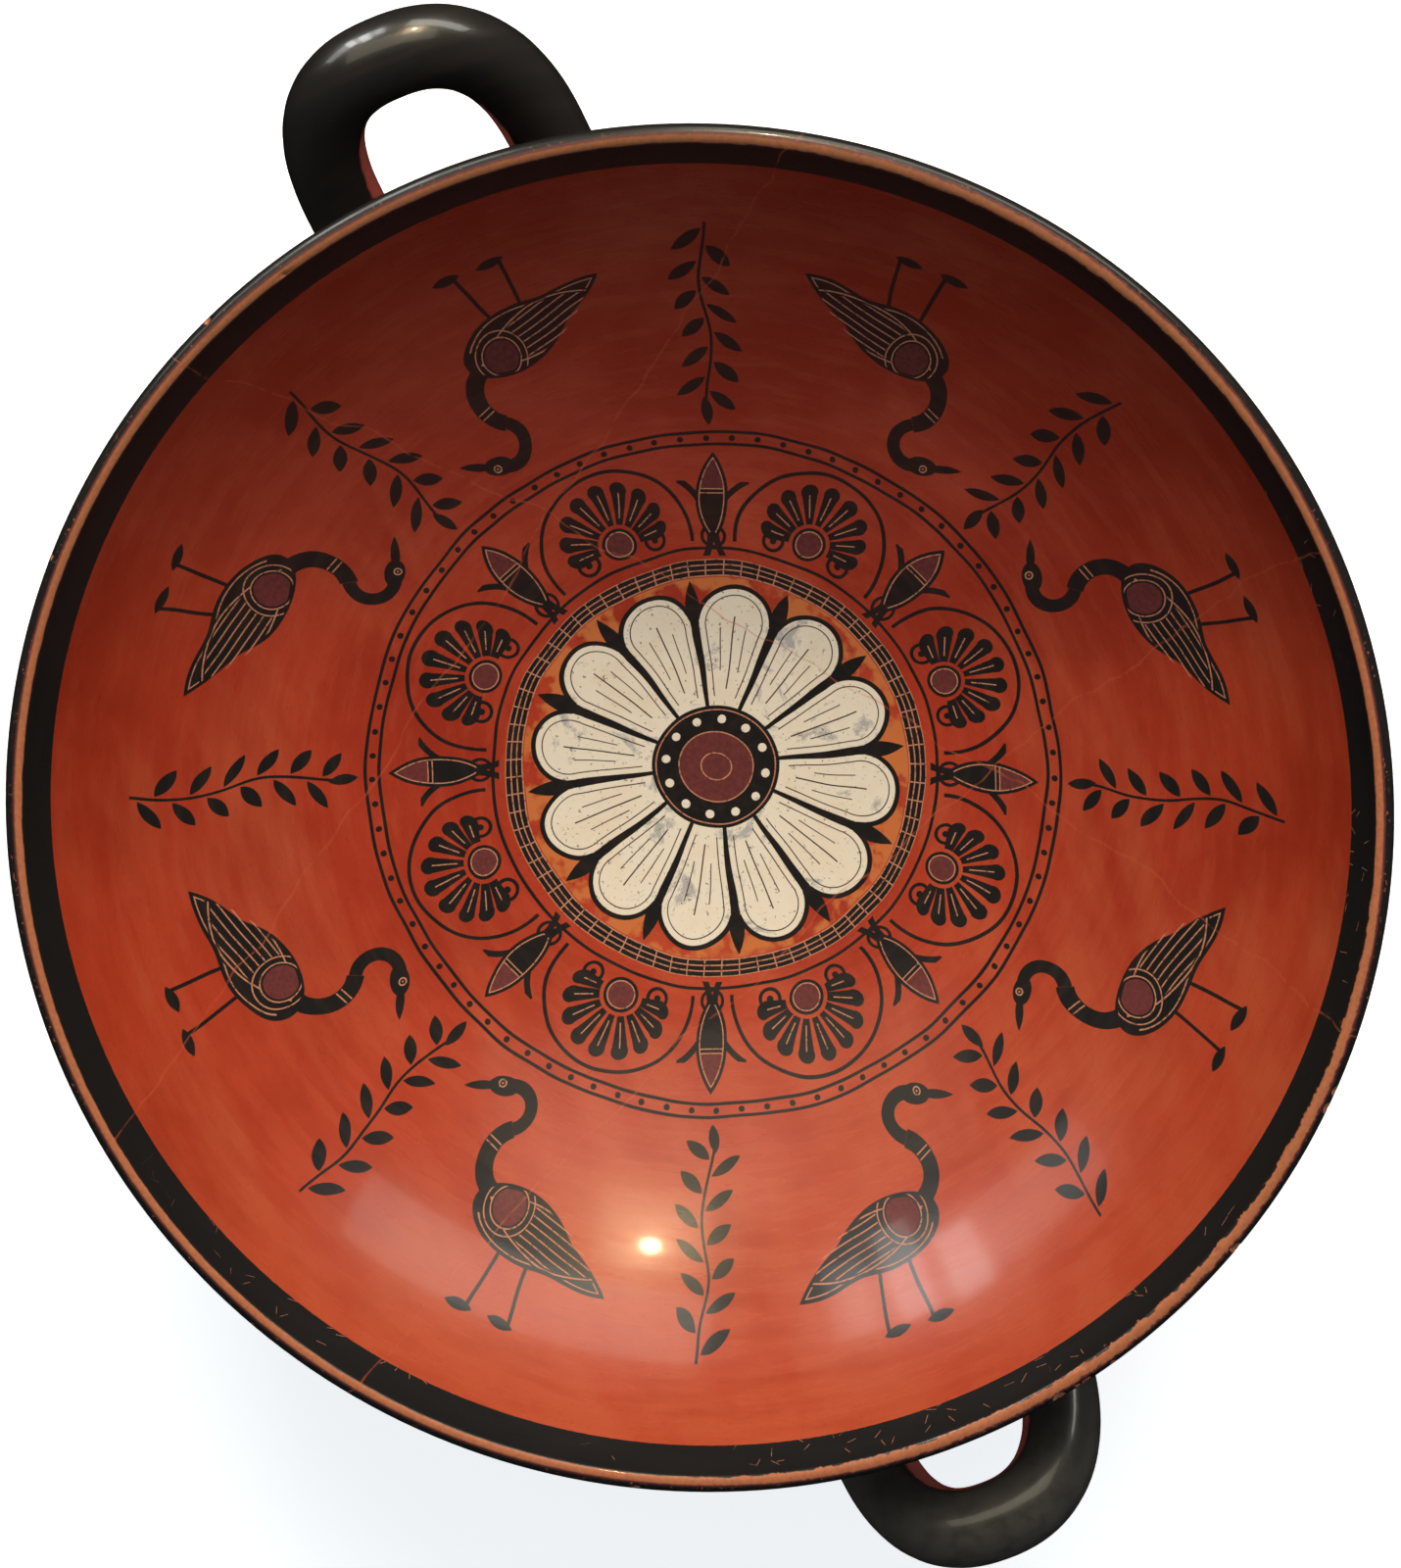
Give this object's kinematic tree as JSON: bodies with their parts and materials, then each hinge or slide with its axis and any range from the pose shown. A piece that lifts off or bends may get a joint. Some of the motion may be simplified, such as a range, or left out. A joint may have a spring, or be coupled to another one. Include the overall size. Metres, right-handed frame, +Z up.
{
  "type": "greek kylix cup",
  "caption": "Wide, deep two-handled drinking cup of fired clay on a short stemmed foot, its inside painted in black and white on a coral-red ground.",
  "frame": {"origin": "centre of the ring that the foot stands on", "axes": "+Z up along the axis of the bowl; the two handles reach out along +X and -X"},
  "size_m": [0.3788, 0.305, 0.136],
  "materials": {
    "painted_clay": "fired orange clay under coral-red and black clay gloss, semi-gloss, with white and purple-red added colour"
  },
  "bodies": {
    "root": {"kylix": "painted_clay"}
  },
  "joints": []
}
